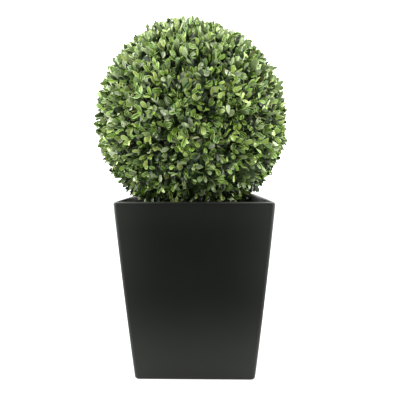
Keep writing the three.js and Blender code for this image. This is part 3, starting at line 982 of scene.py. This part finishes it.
def make_main_twigs(outward, tip, finish):
    """Tubes from inside the moulded frame to the main twigs' tips, thinning evenly."""
    foot = BALL_CENTRE + outward * TWIG_FOOT_REACH
    share = np.linspace(0, 1, PATH_STEPS)[None, :, None]
    sway = np.sin(np.pi * share) * TWIG_SWAY * np.cross(outward, UP)[:, None]
    paths = foot[:, None] * (1 - share) + tip[:, None] * share + sway
    radii = np.broadcast_to(TWIG_FOOT_RADIUS - TWIG_TAPER * share[..., 0], paths.shape[:2])
    tubes = join_tubes(paths, radii, TWIG_SIDES, np.roll(outward, 1, axis=-1))
    return put_mesh("main_twigs", *tubes, [finish])


def make_side_twigs(twig_outward, twig_tip, tip, axis, outward, finish):
    """Tubes that fork from the nearest main twig, the lower the further away the sprig is. Each is
    a cubic curve that leaves along the main twig and comes in along the sprig, and then the
    straight sprig, thinning to its tip."""
    nearest = np.argmax(outward @ twig_outward.T, axis=1)
    spread = np.arccos(np.clip((outward * twig_outward[nearest]).sum(-1), -1, 1))
    level = FORK_REACH[1] + (FORK_REACH[0] - FORK_REACH[1]) * np.clip(spread / FORK_SPREAD, 0, 1)
    foot = BALL_CENTRE + twig_outward[nearest] * TWIG_FOOT_REACH
    main_axis = unit(twig_tip[nearest] - foot)
    fork = foot + main_axis * (level - TWIG_FOOT_REACH)[:, None]
    base = tip - axis * SPRIG_LENGTH
    share = np.linspace(0, 1, PATH_STEPS)[None, :, None]
    curve = (
        (1 - share) ** 3 * fork[:, None]
        + 3 * (1 - share) ** 2 * share * (fork + main_axis * FORK_HANDLE)[:, None]
        + 3 * (1 - share) * share ** 2 * (base - axis * FORK_HANDLE)[:, None]
        + share ** 3 * base[:, None]
    )
    rest = base[:, None] + axis[:, None] * SPRIG_LENGTH * SPRIG_STEPS[None, :, None]
    paths = np.concatenate([curve, rest], axis=1)
    radii = np.broadcast_to(np.linspace(*SIDE_TWIG_RADII, paths.shape[1]), paths.shape[:2])
    tubes = join_tubes(paths, radii, SIDE_TWIG_SIDES, np.roll(axis, 1, axis=-1))
    return put_mesh("side_twigs", *tubes, [finish])


# Studio


def make_camera():
    """The camera at the photograph's place: 940 mm before the planter's middle and level with the
    ball's lower part, turned down by 4.03 degrees, with a hair of yaw and roll."""
    yaw, pitch, roll = (math.radians(turn) for turn in (CAMERA_YAW, CAMERA_PITCH, CAMERA_ROLL))
    right = np.array([math.cos(yaw), math.sin(yaw), 0.0])
    level = np.array([-math.sin(yaw), math.cos(yaw), 0.0])
    forward = math.cos(pitch) * level - math.sin(pitch) * UP
    above = np.cross(right, forward)
    tilted_right = math.cos(roll) * right + math.sin(roll) * above
    tilted_above = -math.sin(roll) * right + math.cos(roll) * above
    place = np.eye(4)
    place[:3, :] = np.stack([tilted_right, tilted_above, -forward, CAMERA_PLACE * MM], axis=-1)
    data = bpy.data.cameras.new("camera")
    data.sensor_width = SENSOR_WIDTH
    data.lens = LENS
    data.clip_start = 0.05
    camera = bpy.data.objects.new("camera", data)
    camera.matrix_world = Matrix(place.tolist())
    bpy.context.scene.collection.objects.link(camera)
    bpy.context.scene.camera = camera


def make_softbox(name, place, target, width, height, power):
    """A soft area light that faces a target point, all in metres and watts."""
    data = bpy.data.lights.new(name, "AREA")
    data.shape = "RECTANGLE"
    data.size, data.size_y = width, height
    data.energy = power
    lamp = bpy.data.objects.new(name, data)
    place, target = np.array(place), np.array(target)
    back = unit(place - target)
    right = unit(np.cross(UP if abs(back[2]) < 0.99 else np.array([0.0, 1.0, 0.0]), back))
    matrix = np.eye(4)
    matrix[:3, :] = np.stack([right, np.cross(back, right), back, place], axis=-1)
    lamp.matrix_world = Matrix(matrix.tolist())
    bpy.context.scene.collection.objects.link(lamp)


def make_world():
    """A pale tent. Its light is bright behind the planter and at its sides and dim in front, by how
    far a direction leans towards the back and a little upwards, and seen directly it is an even
    white."""
    world = bpy.data.worlds.new("tent")
    bpy.context.scene.world = world
    world.use_nodes = True
    nodes, links = world.node_tree.nodes, world.node_tree.links
    place = nodes.new("ShaderNodeTexCoord")
    lean = nodes.new("ShaderNodeVectorMath")
    lean.operation = "DOT_PRODUCT"
    lean.inputs[1].default_value = TENT_TOWARDS
    strength = nodes.new("ShaderNodeMapRange")
    strength.interpolation_type = "SMOOTHSTEP"
    strength.inputs["From Min"].default_value, strength.inputs["From Max"].default_value = TENT_LEAN
    strength.inputs["To Min"].default_value, strength.inputs["To Max"].default_value = TENT_LIGHT
    path = nodes.new("ShaderNodeLightPath")
    shown = nodes.new("ShaderNodeMath")
    shown.operation = "ADD"
    background = nodes["Background"]
    background.inputs["Color"].default_value = (1.0, 1.0, 1.0, 1.0)
    links.new(place.outputs["Generated"], lean.inputs[0])
    links.new(lean.outputs["Value"], strength.inputs["Value"])
    links.new(strength.outputs["Result"], shown.inputs[0])
    links.new(path.outputs["Is Camera Ray"], shown.inputs[1])
    links.new(shown.outputs["Value"], background.inputs["Strength"])


def make_floor():
    """A plain pale floor under the planter, lit evenly from within so that it stays as pale as the
    tent."""
    points = FLOOR_REACH * np.array([(-1, -1, 0), (1, -1, 0), (1, 1, 0), (-1, 1, 0)])
    finish, shader = new_finish("pale_floor", roughness=0.8, specular=0.1)
    shader.inputs["Base Color"].default_value = (0.2, 0.2, 0.2, 1.0)
    shader.inputs["Emission Color"].default_value = (1.0, 1.0, 1.0, 1.0)
    shader.inputs["Emission Strength"].default_value = FLOOR_GLOW
    put_mesh("studio_floor", points, np.arange(4), np.array([4]), [finish])


def mount(piece, node):
    """The piece rides on the part's one body and stands for a node of the source."""
    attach(piece, "root")
    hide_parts(node)


def dress():
    """The camera, and every piece of the scene over the part's solids."""
    rng = np.random.default_rng(RANDOM_SEED)
    make_camera()
    mount(make_planter(make_planter_finish()), "planter")
    mount(make_bark_bed(make_bark_bed_finish()), "filling")
    mount(make_bark_chips(make_bark_chip_finish(), rng), "filling")
    mount(make_stem(make_stem_finish()), "stem")
    frame_finish = make_twig_finish("frame_moulding", dark=(24, 28, 20), light=(38, 44, 28))
    mount(make_ball_frame(frame_finish), "foliage_ball")
    twig_outward, twig_axis, twig_tip = lay_out_twigs()
    side_outward, side_axis = lay_out_sprigs(rng)
    outward = np.concatenate([side_outward, twig_outward])
    axis = np.concatenate([side_axis, twig_axis])
    order = np.argsort(-outward[:, 2], kind="stable")
    outward, axis = outward[order], axis[order]
    tips, leaves = grow_leaves(outward, axis, rng)
    rooted = has_room(tips)
    kept = has_room(leaves).all(axis=-1) & rooted[:, None]
    tints = deal_tints(outward, rng)
    for piece in make_leaves(leaves, tints, kept, make_leaf_finishes()):
        mount(piece, "foliage_ball")
    wood = make_twig_finish("twig_moulding", dark=(44, 44, 30), light=(70, 84, 44))
    mount(make_main_twigs(twig_outward, twig_tip, wood), "foliage_ball")
    side_twigs = make_side_twigs(
        twig_outward, twig_tip, tips[rooted], axis[rooted], outward[rooted], wood
    )
    mount(side_twigs, "foliage_ball")


dress()
make_floor()
make_world()
for softbox in SOFTBOXES:
    make_softbox(*softbox)
bpy.context.scene.view_settings.view_transform = "Standard"
